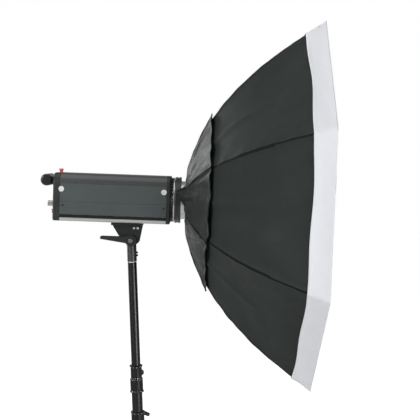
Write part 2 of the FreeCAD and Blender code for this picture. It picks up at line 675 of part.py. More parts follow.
def build_lamp_front():
    plate = rounded_bar(CASE_JOIN_FRONT + GAP / 2, CASE_FRONT, 0)
    rim = [e for e in plate.Edges if e.BoundBox.XMin > CASE_FRONT - 0.01]
    plate = plate.makeFillet(2.5, rim)
    plate = plate.cut(rod(VENT_SEAT_R + GAP, 20.0, Vector(CASE_JOIN_FRONT - 1, 0, 0), X))
    channel = block(98.2, 103.8, CASE_HALF_W - 3.5, CASE_HALF_W + 1, -10, 10)
    save_lamp("front_cap", plate.cut(channel))

    slider = block(98.5, 103.5, CASE_HALF_W - 3.2, CASE_HALF_W + 2.2, -9.7, 1.3)
    slider = slider.makeFillet(0.8, [e for e in slider.Edges if e.BoundBox.YMin > CASE_HALF_W + 2.1])
    for z in (-7.0, -4.2, -1.4):
        slider = slider.cut(block(98, 104, CASE_HALF_W + 1.5, CASE_HALF_W + 3, z - 0.5, z + 0.5))
    save_lamp("release_lever", slider)

    disc = rod(VENT_SEAT_R, 3.0, Vector(DISC_X, 0, 0), X)
    wall = pipe(VENT_SEAT_R, LUG_R + 0.6, 11.0, Vector(DISC_X + 3, 0, 0), X)
    collar = pipe(VENT_R, LUG_R + 0.6, DISC_X + 14 - CASE_FRONT - GAP, Vector(CASE_FRONT + GAP, 0, 0), X)
    ring = fused([disc, wall, collar])
    count = 40
    slots = []
    for i in range(count):
        slots.append(sector(LUG_R, VENT_R + 1, 107.5, 112.0, 360.0 * i / count, 4.0))
    save_lamp("vent_ring", ring.cut(Part.makeCompound(slots)))

    flange = pipe(FLANGE_R, INSERT_R + 0.4, FLANGE_T, Vector(FLANGE_X, 0, 0), X)
    for i in range(3):
        gate = sector(INSERT_R, LUG_R + 0.6, FLANGE_X - 1, FLANGE_X + 4, TWIST + 120 * i, SLOT_ANGLE)
        flange = flange.cut(gate)
    save_lamp("bayonet_flange", flange)

    start = Vector(DOME_START, 0, 0)
    shoulder = Vector(DOME_SHOULDER, 0, 0)
    length = DOME_SHOULDER - DOME_START
    outer = rod(DOME_R, length, start, X).fuse(Part.makeSphere(DOME_R, shoulder))
    inner = rod(DOME_R - 2, length, start, X).fuse(Part.makeSphere(DOME_R - 2, shoulder))
    front = block(DOME_START, 300, -60, 60, -60, 60)
    save_lamp("glass_dome", outer.common(front).cut(inner).removeSplitter())

    tube = Part.makeTorus(28.0, 4.0, Vector(132, 0, 0), X)
    posts = [rod(3.2, 132 - DOME_START, Vector(DOME_START, side * 28.0, 0), X) for side in (-1, 1)]
    save_lamp("flash_tube", fused([tube] + posts))

    base = rod(13.0, 18.0, start, X)
    neck = Part.makeCone(11.0, 14.0, 12.0, start + X * 18, X)
    bulb = Part.makeSphere(18.0, start + X * 42)
    save_lamp("modelling_lamp", fused([base, neck, bulb]))


# ---------------------------------------------------------------- softbox


def curve_point(poles, t):
    count = len(poles) - 1
    x = 0.0
    r = 0.0
    for i, (px, pr) in enumerate(poles):
        weight = math.comb(count, i) * t ** i * (1 - t) ** (count - i)
        x += weight * px
        r += weight * pr
    return x, r


def inset_point(poles, t, distance):
    step = 0.001
    xa, ra = curve_point(poles, max(0.0, t - step))
    xb, rb = curve_point(poles, min(1.0, t + step))
    length = math.hypot(xb - xa, rb - ra)
    x, r = curve_point(poles, t)
    return x + distance * (rb - ra) / length, r - distance * (xb - xa) / length


def smooth_edge(points, first_direction=None):
    curve = Part.BSplineCurve()
    vectors = [Vector(x, r, 0) for x, r in points]
    if first_direction:
        last_direction = vectors[-1] - vectors[-2]
        last_direction.normalize()
        curve.interpolate(vectors, InitialTangent=first_direction, FinalTangent=last_direction)
    else:
        curve.interpolate(vectors)
    return curve.toShape()


def bezier_edge(poles):
    curve = Part.BezierCurve()
    curve.setPoles([Vector(x, r, 0) for x, r in poles])
    return curve.toShape()


def line(a, b):
    return Part.makeLine(Vector(a[0], a[1], 0), Vector(b[0], b[1], 0))


def gores(poles, thickness):
    """Eight single-curved panels between the ribs, each its own solid with a seam gap."""
    flat = math.cos(math.radians(HALF_SIDE))
    flat_poles = [(x, r * flat) for x, r in poles]
    steps = 10
    inner = [inset_point(flat_poles, i / steps, thickness) for i in range(steps + 1)]
    edges = [bezier_edge(flat_poles), smooth_edge(inner)]
    edges.append(line(flat_poles[0], inner[0]))
    edges.append(line(flat_poles[-1], inner[-1]))
    face = Part.Face(Part.Wire(Part.__sortEdges__(edges)))
    reach = 600.0
    sheet = face.extrude(Vector(0, 0, reach))
    sheet.translate(Vector(0, 0, -reach / 2))
    spread = reach * math.tan(math.radians(HALF_SIDE))
    corners = [Vector(-50, SEAM_GAP, 0), Vector(-50, reach + SEAM_GAP, -spread)]
    corners.append(Vector(-50, reach + SEAM_GAP, spread))
    wedge = Part.Face(Part.makePolygon(corners + corners[:1])).extrude(Vector(500, 0, 0))
    panel = sheet.common(wedge)
    panels = []
    for i in range(SIDES):
        copy = panel.copy()
        copy.rotate(ORIGIN, X, 360.0 * i / SIDES)
        panels.append(copy)
    return Part.makeCompound(panels)


def octagon(s, radius):
    points = []
    for i in range(SIDES + 1):
        a = math.radians(HALF_SIDE + 360.0 * i / SIDES)
        points.append(Vector(s, radius * math.cos(a), radius * math.sin(a)))
    return Part.makePolygon(points)


def frustum(s0, r0, s1, r1):
    return Part.makeLoft([octagon(s0, r0), octagon(s1, r1)], True, True)


def rib_root():
    start = inset_point(SHELL_POLES, 0.0, RIB_INSET)
    (x0, r0), (x1, r1) = SHELL_POLES[0], SHELL_POLES[1]
    slope = (x1 - x0) / (r1 - r0)
    root = (start[0] - slope * (start[1] - RIB_ROOT), RIB_ROOT)
    return root, slope


def build_ribs():
    root, slope = rib_root()
    steps = 8
    points = []
    for i in range(steps + 1):
        points.append(inset_point(SHELL_POLES, RIB_END_T * i / steps, RIB_INSET))
    along = Vector(slope, 1, 0)
    along.normalize()
    path = Part.Wire([line(root, points[0]), smooth_edge(points, along)])
    circle = Part.Wire([Part.makeCircle(RIB_R, Vector(root[0], root[1], 0), along)])
    rib = path.makePipeShell([circle], True, False)
    rib = Part.Solid(rib) if rib.ShapeType == "Shell" else rib
    ribs = []
    for i in range(SIDES):
        copy = rib.copy()
        copy.rotate(ORIGIN, X, HALF_SIDE + 360.0 * i / SIDES)
        ribs.append(copy)
    save_softbox("ribs", Part.makeCompound(ribs))


def build_hub():
    root, slope = rib_root()
    neck = rod(NECK_R, HUB_END - RING_HALF, Vector(RING_HALF, 0, 0), X)
    hub = rod(HUB_R, HUB_END - HUB_START, Vector(HUB_START, 0, 0), X)
    solids = [neck, hub]
    along = Vector(slope, 1, 0)
    along.normalize()
    holes = []
    inner_r = NECK_BORE + 2.0
    base = Vector(root[0] - slope * (RIB_ROOT - inner_r), inner_r, 0)
    rib_start = Vector(root[0], root[1], 0)
    for i in range(SIDES):
        angle = HALF_SIDE + 360.0 * i / SIDES
        outer = rod(SOCKET_OUT_R, (SOCKET_END - inner_r), base, along)
        hole = rod(RIB_R + RUN, 60.0, rib_start - along * 0.5, along)
        for shape in (outer, hole):
            shape.rotate(ORIGIN, X, angle)
        solids.append(outer)
        holes.append(hole)
    body = fused(solids)
    body = body.cut(rod(NECK_BORE, 60.0, Vector(0, 0, 0), X))
    for hole in holes:
        body = body.cut(hole)
    save_softbox("rib_hub", body)


def build_speed_ring():
    body = pipe(RING_R, INSERT_R + RUN, 2 * RING_HALF, Vector(-RING_HALF, 0, 0), X)
    edges = [e for e in body.Edges if e.BoundBox.YLength > 2 * RING_R - 0.1]
    body = body.makeFillet(1.5, [e for e in edges if e.BoundBox.XLength < 0.1])
    rear_seat = rod(LUG_R + 1.3, 2.3, Vector(-RING_HALF, 0, 0), X)
    front_seat = rod(51.3, 2.8, Vector(RING_HALF - 2.8, 0, 0), X)
    waist = pipe(RING_R + 1, RING_R - 1.5, 4.0, Vector(-2, 0, 0), X)
    save_softbox("speed_ring", body.cut(rear_seat).cut(front_seat).cut(waist))


def build_insert():
    start = 108.5
    body = rod(INSERT_R, 133.7 - start, Vector(start, 0, 0), X)
    solids = [body]
    solids.append(rod(LUG_R + 1.0, 2.0, Vector(117.6, 0, 0), X))
    solids.append(rod(51.0, 2.0, Vector(131.5, 0, 0), X))
    for i in range(3):
        solids.append(sector(INSERT_R - 1, LUG_R, 110.0, 113.9, 120 * i, LUG_ANGLE))
    body = fused(solids).cut(rod(INSERT_BORE, 60.0, Vector(100, 0, 0), X))
    save_lamp("bayonet_insert", body)


def build_fabric():
    save_softbox("shell_panels", gores(SHELL_POLES, SHELL_T))
    save_softbox("rear_skirt", gores(SKIRT_POLES, SKIRT_T))

    rise = 0.7
    edge = DIFFUSER_FRONT - DIFFUSER_T
    r0 = 478.2
    r1 = r0 + rise * (edge - DIFFUSER_START)
    side = 2.1
    before = 5.0
    outer = frustum(DIFFUSER_START, r0 + side, DIFFUSER_FRONT, r1 + side + rise * DIFFUSER_T)
    inner = frustum(DIFFUSER_START - before, r0 - rise * before, edge, r1)
    save_softbox("front_diffuser", outer.cut(inner))

    baffle = frustum(BAFFLE_S, BAFFLE_R, BAFFLE_S + 1.5, BAFFLE_R)
    straps = []
    for i in range(SIDES):
        strap = block(BAFFLE_S, BAFFLE_S + 1.5, BAFFLE_R - 20, BAFFLE_STRAP, -6, 6)
        strap.rotate(ORIGIN, X, HALF_SIDE + 360.0 * i / SIDES)
        straps.append(strap)
    save_softbox("inner_baffle", fused([baffle] + straps))


build_column()
build_base()
build_collar()
build_legs()
build_swivel()
build_bracket()
build_lever()
build_case()
build_rear_cap()
build_rear_fittings()
build_lamp_front()
build_ribs()
build_hub()
build_speed_ring()
build_insert()
build_fabric()
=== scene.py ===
import json
import math

import bpy
import numpy as np
from mathutils import Matrix, Vector, noise
from mathutils.bvhtree import BVHTree


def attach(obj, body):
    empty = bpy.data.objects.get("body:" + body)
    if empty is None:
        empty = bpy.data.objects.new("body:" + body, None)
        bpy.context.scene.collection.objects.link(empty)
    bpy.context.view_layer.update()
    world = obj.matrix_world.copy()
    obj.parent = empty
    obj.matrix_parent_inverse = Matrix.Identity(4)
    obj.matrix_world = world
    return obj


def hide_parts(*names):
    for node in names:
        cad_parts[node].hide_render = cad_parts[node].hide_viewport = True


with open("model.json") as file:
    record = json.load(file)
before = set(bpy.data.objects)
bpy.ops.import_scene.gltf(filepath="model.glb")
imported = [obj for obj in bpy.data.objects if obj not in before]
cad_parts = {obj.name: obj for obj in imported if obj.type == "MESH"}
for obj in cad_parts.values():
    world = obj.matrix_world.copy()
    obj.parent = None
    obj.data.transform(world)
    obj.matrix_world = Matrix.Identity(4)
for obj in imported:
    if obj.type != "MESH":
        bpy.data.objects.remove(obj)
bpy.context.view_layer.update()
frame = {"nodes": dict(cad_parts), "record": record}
NODES = frame["nodes"]

# The head is level in its own coordinates and tips nose down about the tilt pivot.
TILT = math.radians(3.9)
PIVOT_Z = 1.300
AXIS_Z = 0.115
RING_X = 0.126
PIVOT = Matrix.Translation((0, 0, PIVOT_Z))
HEAD = PIVOT @ Matrix.Rotation(TILT, 4, "Y") @ Matrix.Translation((0, 0, AXIS_Z))
BOX = HEAD @ Matrix.Translation((RING_X, 0, 0))

# The softbox is an octagon. Facets and corners are counted from 0, round its axis.
SIDES = 8
HALF_SIDE = math.pi / SIDES
SEAM_CROWDING = 0.62


# ---------------------------------------------------------------- materials


class Graph:
    """A small helper that adds nodes to one material."""

    def __init__(self, name):
        self.mat = bpy.data.materials.new(name)
        self.mat.use_nodes = True
        self.tree = self.mat.node_tree
        self.bsdf = self.tree.nodes["Principled BSDF"]
        self.coord = self.add("ShaderNodeTexCoord")

    def add(self, kind, **values):
        node = self.tree.nodes.new(kind)
        for key, value in values.items():
            setattr(node, key, value)
        return node

    def link(self, a, b):
        self.tree.links.new(a, b)

    def set(self, **values):
        for key, value in values.items():
            self.bsdf.inputs[key.replace("_", " ")].default_value = value

    def noise(self, scale, detail=3.0, rough=0.5, stretch=None):
        node = self.add("ShaderNodeTexNoise")
        node.inputs["Scale"].default_value = scale
        node.inputs["Detail"].default_value = detail
        node.inputs["Roughness"].default_value = rough
        vector = self.coord.outputs["Object"]
        if stretch:
            mapping = self.add("ShaderNodeMapping")
            mapping.inputs["Scale"].default_value = stretch
            self.link(vector, mapping.inputs["Vector"])
            vector = mapping.outputs["Vector"]
        self.link(vector, node.inputs["Vector"])
        return node.outputs["Fac"]

    def ramp(self, value, stops):
        node = self.add("ShaderNodeValToRGB")
        elements = node.color_ramp.elements
        while len(elements) < len(stops):
            elements.new(0.5)
        for element, (position, colour) in zip(elements, stops):
            element.position = position
            element.color = (*colour, 1.0)
        self.link(value, node.inputs["Fac"])
        return node.outputs["Color"]

    def spread(self, value, low, high, from_low=0.3, from_high=0.7):
        node = self.add("ShaderNodeMapRange")
        node.inputs["From Min"].default_value = from_low
        node.inputs["From Max"].default_value = from_high
        node.inputs["To Min"].default_value = low
        node.inputs["To Max"].default_value = high
        self.link(value, node.inputs["Value"])
        return node.outputs["Result"]

    def math(self, operation, a, b):
        node = self.add("ShaderNodeMath", operation=operation)
        for index, value in enumerate((a, b)):
            if isinstance(value, (int, float)):
                node.inputs[index].default_value = value
            else:
                self.link(value, node.inputs[index])
        return node.outputs[0]

    def mix(self, factor, a, b):
        node = self.add("ShaderNodeMix", data_type="RGBA")
        for index, value in ((0, factor), (6, a), (7, b)):
            if isinstance(value, tuple):
                node.inputs[index].default_value = (*value, 1.0)
            else:
                self.link(value, node.inputs[index])
        return node.outputs[2]

    def bump(self, height, distance, strength=1.0, normal=None):
        node = self.add("ShaderNodeBump")
        node.inputs["Strength"].default_value = strength
        node.inputs["Distance"].default_value = distance
        self.link(height, node.inputs["Height"])
        if normal is not None:
            self.link(normal, node.inputs["Normal"])
        return node.outputs["Normal"]


def scaled(colour, k):
    return tuple(min(1.0, c * k) for c in colour)


EDGE_RADIUS = 0.0005


def solid(name, colour, rough, metal=0.0, vary=0.10, rough_vary=0.07, grain=1500.0, grain_depth=0.00004,
          edge_wear_and_highlight=0.25, coat=0.0, specular=0.5, brushed=None):
    """A painted, moulded or metal surface: cloudy colour, fine grain, soft rounded edges, and sharp edges
    lightened in patches, which is edge wear and a painted edge highlight.
    """
    g = Graph(name)
    cloud = g.noise(9.0, 4.0, 0.55)
    speck = g.noise(grain, 2.0, 0.6)
    base = g.ramp(cloud, [(0.30, scaled(colour, 1 - vary)), (0.70, scaled(colour, 1 + vary))])
    edge_normal = g.add("ShaderNodeBevel", samples=4)
    edge_normal.inputs["Radius"].default_value = EDGE_RADIUS
    geometry = g.add("ShaderNodeNewGeometry")
    dot = g.add("ShaderNodeVectorMath", operation="DOT_PRODUCT")
    g.link(edge_normal.outputs["Normal"], dot.inputs[0])
    g.link(geometry.outputs["Normal"], dot.inputs[1])
    edge = g.spread(dot.outputs["Value"], 1.0, 0.0, 0.86, 0.995)
    patch = g.spread(g.noise(140.0, 3.0, 0.7), 0.0, 1.0, 0.42, 0.62)
    # Sharp edges lighten in patches: partly edge wear, partly a painted highlight along the edges.
    worn_and_highlit = g.math("MULTIPLY", g.math("MULTIPLY", edge, patch), edge_wear_and_highlight)
    base = g.mix(worn_and_highlit, base, scaled(colour, 2.2 if metal < 0.5 else 1.15))
    g.link(base, g.bsdf.inputs["Base Color"])
    smear = g.noise(38.0, 4.0, 0.6, stretch=brushed)
    g.link(g.spread(smear, rough - rough_vary, rough + rough_vary), g.bsdf.inputs["Roughness"])
    height = speck
    if brushed:
        height = g.noise(420.0, 2.0, 0.5, stretch=brushed)
    g.link(g.bump(height, grain_depth, 0.6, edge_normal.outputs["Normal"]), g.bsdf.inputs["Normal"])
    g.set(Metallic=metal, Coat_Weight=coat, Coat_Roughness=0.12, Specular_IOR_Level=specular)
    return g.mat


def glassy(name, colour, rough, alpha):
    """Faintly cloudy glass that lets part of what is behind it show."""
    g = Graph(name)
    cloud = g.noise(22.0, 3.0, 0.5)
    g.link(g.ramp(cloud, [(0.3, scaled(colour, 0.94)), (0.7, colour)]), g.bsdf.inputs["Base Color"])
    g.link(g.spread(g.noise(300.0, 2.0), max(0.02, rough - 0.04), rough + 0.05), g.bsdf.inputs["Roughness"])
    g.link(g.bump(g.noise(700.0, 1.0), 0.00002, 0.4), g.bsdf.inputs["Normal"])
    g.set(Alpha=alpha, Specular_IOR_Level=0.6)
    return g.mat


def weave(g, threads, depth, normal=None):
    """Over and under threads from two crossed waves in the sheet's own UV, which is in metres."""
    waves = []
    for direction in ("X", "Y"):
        wave = g.add("ShaderNodeTexWave", bands_direction=direction)
        wave.inputs["Scale"].default_value = threads
        wave.inputs["Distortion"].default_value = 0.35
        wave.inputs["Detail"].default_value = 1.0
        wave.inputs["Detail Scale"].default_value = 0.4
        g.link(g.coord.outputs["UV"], wave.inputs["Vector"])
        waves.append(wave.outputs["Fac"])
    height = g.math("MULTIPLY", waves[0], waves[1])
    return height, g.bump(height, depth, 0.7, normal)


def cloth(name, colour, rough, vary, sheen, crumple, threads=160.0, depth=0.00012, specular=0.5,
          crease_scale=26.0, sheen_tint=(1, 1, 1, 1)):
    """Woven nylon: crossed threads, broad handling marks, soft creases and a satin sheen."""
    g = Graph(name)
    cloud = g.noise(5.0, 5.0, 0.55)
    fine = g.noise(90.0, 4.0, 0.65)
    blend = g.math("ADD", g.math("MULTIPLY", cloud, 0.7), g.math("MULTIPLY", fine, 0.3))
    base = g.ramp(blend, [(0.32, scaled(colour, 1 - vary)), (0.68, scaled(colour, 1 + vary))])
    crease = g.noise(crease_scale, 5.0, 0.62)
    creased = g.bump(crease, crumple, 0.8)
    height, normal = weave(g, threads, depth, creased)
    base = g.mix(g.math("MULTIPLY", height, 0.30), base, scaled(colour, 1 - 1.6 * vary))
    g.link(base, g.bsdf.inputs["Base Color"])
    g.link(g.spread(g.noise(14.0, 4.0), rough - 0.07, rough + 0.07), g.bsdf.inputs["Roughness"])
    g.link(normal, g.bsdf.inputs["Normal"])
    g.set(Sheen_Weight=sheen, Sheen_Roughness=0.4, Specular_IOR_Level=specular, Sheen_Tint=sheen_tint)
    return g.mat


# Each surface has a colour, a roughness and the looks in which it differs from a plain moulding.
SURFACES = {
    "tube_black": ((0.008, 0.0085, 0.0085), 0.27,
                   dict(rough_vary=0.03, grain=1800, grain_depth=0.000008, edge_wear_and_highlight=0.10, specular=0.45)),
    "casting_black": ((0.008, 0.008, 0.0085), 0.42,
                      dict(vary=0.12, grain=1100, grain_depth=0.00008, specular=0.3)),
    "knob_black": ((0.016, 0.016, 0.018), 0.42, dict(vary=0.12, grain=1300, grain_depth=0.00006)),
    "foot_rubber": ((0.022, 0.022, 0.022), 0.75, dict(vary=0.2, grain=900, grain_depth=0.00012, edge_wear_and_highlight=0.1)),
    "spigot_steel": ((0.60, 0.60, 0.61), 0.28,
                     dict(metal=1.0, vary=0.05, brushed=(1, 1, 60), grain_depth=0.00003)),
    "shoulder_white": ((0.80, 0.80, 0.78), 0.35, dict(vary=0.04, edge_wear_and_highlight=0.1)),
    "socket_grey": ((0.032, 0.034, 0.035), 0.36, dict(coat=0.2, edge_wear_and_highlight=0.5)),
    "screw_black": ((0.014, 0.014, 0.015), 0.30, dict(vary=0.08, edge_wear_and_highlight=0.5)),
    "bracket_black": ((0.010, 0.012, 0.012), 0.40, dict(coat=0.05, edge_wear_and_highlight=0.4)),
    "screw_chrome": ((0.90, 0.90, 0.90), 0.24, dict(metal=0.35, vary=0.03, rough_vary=0.05, edge_wear_and_highlight=0.1)),
    "cover_grey": ((0.052, 0.056, 0.056), 0.30,
                   dict(vary=0.06, rough_vary=0.03, coat=0.3, grain=1600, grain_depth=0.00006, edge_wear_and_highlight=0.3)),
    "panel_teal": ((0.054, 0.069, 0.067), 0.44, dict(vary=0.06, grain=1700, grain_depth=0.00005)),
    "trim_black": ((0.009, 0.009, 0.010), 0.40, dict(vary=0.08, rough_vary=0.03, edge_wear_and_highlight=0.05, specular=0.3)),
    "pan_silver": ((0.58, 0.59, 0.57), 0.30,
                   dict(metal=0.75, vary=0.04, rough_vary=0.03, brushed=(1, 55, 55), grain_depth=0.000008,
                        edge_wear_and_highlight=0.05)),
    "can_aluminium": ((0.55, 0.56, 0.58), 0.35, dict(metal=1.0, vary=0.06)),
    "cap_black": ((0.016, 0.019, 0.019), 0.42, dict(vary=0.12, grain=1300, grain_depth=0.00008)),
    "window_dark": ((0.012, 0.020, 0.024), 0.10, dict(vary=0.15, rough_vary=0.03, coat=0.6, edge_wear_and_highlight=0.05)),
    "button_grey": ((0.09, 0.09, 0.09), 0.40, dict(vary=0.08)),
    "knob_silver": ((0.70, 0.70, 0.68), 0.22, dict(metal=1.0, vary=0.05, brushed=(1, 60, 60))),
    "switch_red": ((0.42, 0.015, 0.05), 0.28, dict(coat=0.3, edge_wear_and_highlight=0.1)),
    "inlet_black": ((0.012, 0.012, 0.013), 0.45, dict()),
    "sensor_red": ((0.80, 0.12, 0.11), 0.22, dict(vary=0.12, coat=0.4, edge_wear_and_highlight=0.1)),
    "grip_black": ((0.012, 0.012, 0.013), 0.24, dict(vary=0.12, grain=1200, grain_depth=0.00006, coat=0.35)),
    "flange_steel": ((0.75, 0.75, 0.74), 0.22, dict(metal=1.0, vary=0.05, brushed=(1, 30, 30))),
    "ring_black": ((0.014, 0.015, 0.016), 0.33, dict(coat=0.2, edge_wear_and_highlight=0.4)),
    "hub_aluminium": ((0.66, 0.66, 0.64), 0.30, dict(metal=1.0, vary=0.05, brushed=(1, 25, 25))),
    "rib_steel": ((0.30, 0.30, 0.31), 0.35, dict(metal=1.0, vary=0.06)),
}
MATS = {name: solid(name, colour, rough, **looks) for name, (colour, rough, looks) in SURFACES.items()}
MATS["dome_glass"] = glassy("dome_glass", (0.92, 0.93, 0.92), 0.45, 0.45)
MATS["tube_glass"] = glassy("tube_glass", (0.95, 0.93, 0.88), 0.08, 0.55)
MATS["bulb_glass"] = glassy("bulb_glass", (0.95, 0.94, 0.90), 0.30, 0.75)

BLACK_FABRIC = (0.0265, 0.0315, 0.0300)
NYLON = dict(threads=520.0, depth=0.00008)
COOL_SHEEN = (0.75, 0.85, 0.85, 1)
FABRIC = cloth("fabric_black", BLACK_FABRIC, 0.52, vary=0.14, sheen=0.02, crumple=0.0012, specular=0.10,
               sheen_tint=COOL_SHEEN, **NYLON)
SKIRT_FABRIC = cloth("fabric_black_skirt", scaled(BLACK_FABRIC, 0.8), 0.44, vary=0.16, sheen=0.03,
                     crumple=0.0018, specular=0.30, sheen_tint=COOL_SHEEN, **NYLON)
# A much darker copy of the black fabric: painted shade along the seams, at the hems, and on the skirt's
# underside and edge.
SEAM_SHADE_FABRIC = cloth("fabric_black_painted_seam_shade", scaled(BLACK_FABRIC, 0.28), 0.6, vary=0.14, sheen=0.01, crumple=0.0005,
            specular=0.10, **NYLON)
LINING = cloth("fabric_lining", (0.62, 0.63, 0.64), 0.32, vary=0.06, sheen=0.0, crumple=0.0012, specular=0.8)
WHITE = cloth("fabric_white", (0.73, 0.74, 0.775), 0.60, vary=0.03, sheen=0.05, crumple=0.0018, threads=480,
              depth=0.00006, crease_scale=12.0)
BAFFLE = cloth("fabric_baffle", (0.80, 0.80, 0.82), 0.62, vary=0.03, sheen=0.05, crumple=0.0010, threads=480,
               depth=0.00006)

for entry in frame["record"]["subparts"]:
    material = MATS.get(entry["material_slot"])
    if material:
        mesh = NODES[entry["node"]].data
        mesh.materials.clear()
        mesh.materials.append(material)


# ---------------------------------------------------------------- mesh helpers


def mesh_object(name, points, faces, materials, uv=None, matrix=None, face_material=None, smooth=True):
    """uv holds one pair per vertex, or is a dictionary with one pair per face corner."""
    mesh = bpy.data.meshes.new(name)
    if matrix is not None:
        points = [matrix @ Vector(p) for p in points]
    mesh.from_pydata([tuple(p) for p in points], [], faces)
    for material in materials:
        mesh.materials.append(material)
    if uv is not None:
        layer = mesh.uv_layers.new(name="UVMap")
        for polygon in mesh.polygons:
            for loop in polygon.loop_indices:
                key = loop if isinstance(uv, dict) else mesh.loops[loop].vertex_index
                layer.data[loop].uv = uv[key]
    if face_material is not None:
        for polygon, index in zip(mesh.polygons, face_material):
            polygon.material_index = index
    for polygon in mesh.polygons:
        polygon.use_smooth = smooth
    mesh.validate()
    obj = bpy.data.objects.new(name, mesh)
    bpy.context.scene.collection.objects.link(obj)
    return obj


def apply_modifiers(obj):
    depsgraph = bpy.context.evaluated_depsgraph_get()
    mesh = bpy.data.meshes.new_from_object(obj.evaluated_get(depsgraph))
    obj.modifiers.clear()
    obj.data = mesh


def thicken(obj, thickness, offset=-1.0, inner_material=0, rim_material=0):
    """Gives a sheet a thickness: inwards from its outer face, or to both sides with an offset of 0."""
    modifier = obj.modifiers.new("Solidify", "SOLIDIFY")
    modifier.thickness = thickness
    modifier.offset = offset
    modifier.use_even_offset = False
    modifier.material_offset = inner_material
    modifier.material_offset_rim = rim_material
    apply_modifiers(obj)


def smoothstep(x, low, high):
    """0 below low, 1 above high and a smooth rise between them."""
    t = np.clip((x - low) / (high - low), 0.0, 1.0)
    return t * t * (3 - 2 * t)


def arch(u):
    """0 at both seams of a panel and 1 midway between them."""
    return 4 * u * (1 - u)


def noise_along(length, place):
    """Smooth noise for each length along a rib, read at the point that place(length) gives."""
    return np.array([noise.noise(Vector(place(distance))) for distance in length])


def bezier(poles, t):
    """Points of the Bezier curve with these poles, one for each value in t."""
    n = len(poles) - 1
    out = np.zeros((len(t), 2))
    for i, pole in enumerate(poles):
        weight = math.comb(n, i) * t ** i * (1 - t) ** (n - i)
        out += weight[:, None] * np.array(pole)[None, :]
    return out


# ---------------------------------------------------------------- softbox sheets

# Bezier curves along a rib, as (distance in front of the speed ring, distance from the axis) in metres.
SHELL_POLES = ((0.0291, 0.084), (0.0595, 0.2525), (0.1715, 0.383), (0.362, 0.510))
SKIRT_POLES = ((0.0155, 0.0595), (0.0423, 0.1733), (0.088, 0.256))
CURVE_STEPS = 400
UV_PITCH = 0.42


def rib_profile(poles, rows):
    """Points along a rib, evenly spaced by length, with the length so far."""
    t = np.linspace(0, 1, CURVE_STEPS)
    curve = bezier(poles, t)
    run = np.concatenate([[0], np.cumsum(np.hypot(*np.diff(curve, axis=0).T))])
    want = np.linspace(0, run[-1], rows)
    return np.stack([np.interp(want, run, curve[:, 0]), np.interp(want, run, curve[:, 1])], axis=1), want


def crowded(t):
    """Moves evenly spaced columns towards the two seams, where the small folds are."""
    return t - SEAM_CROWDING * math.sin(2 * math.pi * t) / (2 * math.pi)


def side_point(i, u):
    """The point a share u along side i of the octagon whose corners lie at 1 from the axis."""
    turn = HALF_SIDE + i * 2 * HALF_SIDE
    first = np.array([math.cos(turn), math.sin(turn)])
    last = np.array([math.cos(turn + 2 * HALF_SIDE), math.sin(turn + 2 * HALF_SIDE)])
    return (1 - u) * first + u * last


def side_outward(i):
    """The unit vector from the axis to the middle of side i."""
    middle = 2 * HALF_SIDE * (i + 1)
    return np.array([math.cos(middle), math.sin(middle)])


def octagon_sheet(poles, rows, columns, shape):
    """A closed ring of eight panels. shape(i, u, v, chord, length) gives two arrays with a value for each
    point of a column: how far it is pushed outwards, and how far it is shifted along the rib."""
    profile, length = rib_profile(poles, rows)
    tangent = np.gradient(profile, axis=0)
    tangent /= np.linalg.norm(tangent, axis=1)[:, None]
    points, uv = [], []
    total = SIDES * columns
    for k in range(total + 1):
        i, step = divmod(k, columns)
        u = crowded(step / columns)
        i = i % SIDES
        across = side_point(i, u)
        outward = side_outward(i)
        chord = 2 * profile[:, 1] * math.sin(HALF_SIDE)
        offset, shift = shape(i, u, length / length[-1], chord, length)
        normal_r = tangent[:, 0]
        normal_s = -tangent[:, 1]
        flat = math.cos(HALF_SIDE)
        reach = np.hypot(tangent[:, 0], tangent[:, 1] * flat)
        out_s = normal_s * flat / reach
        out_r = normal_r / reach
        radius = profile[:, 1] + tangent[:, 1] * shift
        s = profile[:, 0] + out_s * offset + tangent[:, 0] * shift
        y = radius * across[0] + outward[0] * out_r * offset
        z = radius * across[1] + outward[1] * out_r * offset
        points.append(np.stack([s, y, z], axis=1))
        uv.append(np.stack([(i + 0.5) * UV_PITCH + (u - 0.5) * chord, length], axis=1))
    return points, uv


def ring_mesh(name, points, uv, rows, materials, matrix, face_material=None):
    """Joins the columns of octagon_sheet into one closed mesh whose faces point outwards."""
    total = len(points) - 1
    verts = [p for column in points[:-1] for p in column]
    faces, loops, index = [], {}, 0
    for k in range(total):
        right = (k + 1) % total
        for r in range(rows - 1):
            faces.append((k * rows + r, right * rows + r, right * rows + r + 1, k * rows + r + 1))
            side = uv[k + 1] if (k + 1) % (total // SIDES) else uv[k] + (uv[k] - uv[k - 1])
            for source, row in ((uv[k], r), (side, r), (side, r + 1), (uv[k], r + 1)):
                loops[index] = tuple(source[row])
                index += 1
    return mesh_object(name, verts, faces, materials, loops, matrix, face_material)


# The near side facet, the one below it, the facets whose skirt is slackest, and the rib with the pulled tip.
SIDE_FACET = 3
LOWER_FACET = 4
LOOSE_FACETS = (2, 4, 5, 7)
TIP_TURN = HALF_SIDE + SIDE_FACET * 2 * HALF_SIDE


def seam_shade_faces(rows, columns, shade_slot, shaded_edge_rows):
    """Material of each face: painted seam shade beside every rib and along the last rows at the free edge,
    and 0 elsewhere.
    """
    kinds = []
    for k in range(SIDES * columns):
        for row in range(rows - 1):
            near = min(k % columns, columns - 1 - k % columns)
            shaded = near < (2 if row < 0.7 * rows else 1) or row >= rows - 1 - shaded_edge_rows
            kinds.append(shade_slot if shaded else 0)
    return kinds


# Heights of the shell's folds, in metres, except the hollow, which is a share of the panel's width.
SHELL_HOLLOW = 0.022
SHELL_PUCKER = 0.0016
SHELL_DRIFT = 0.0050
SHELL_SLANT = 0.0030
SHELL_FOLD = 0.0038
SHELL_BELLY = 0.0095
SHELL_RIDGE = 0.0018
SHELL_GROOVE = 0.0014
SHELL_SINK = 0.0008


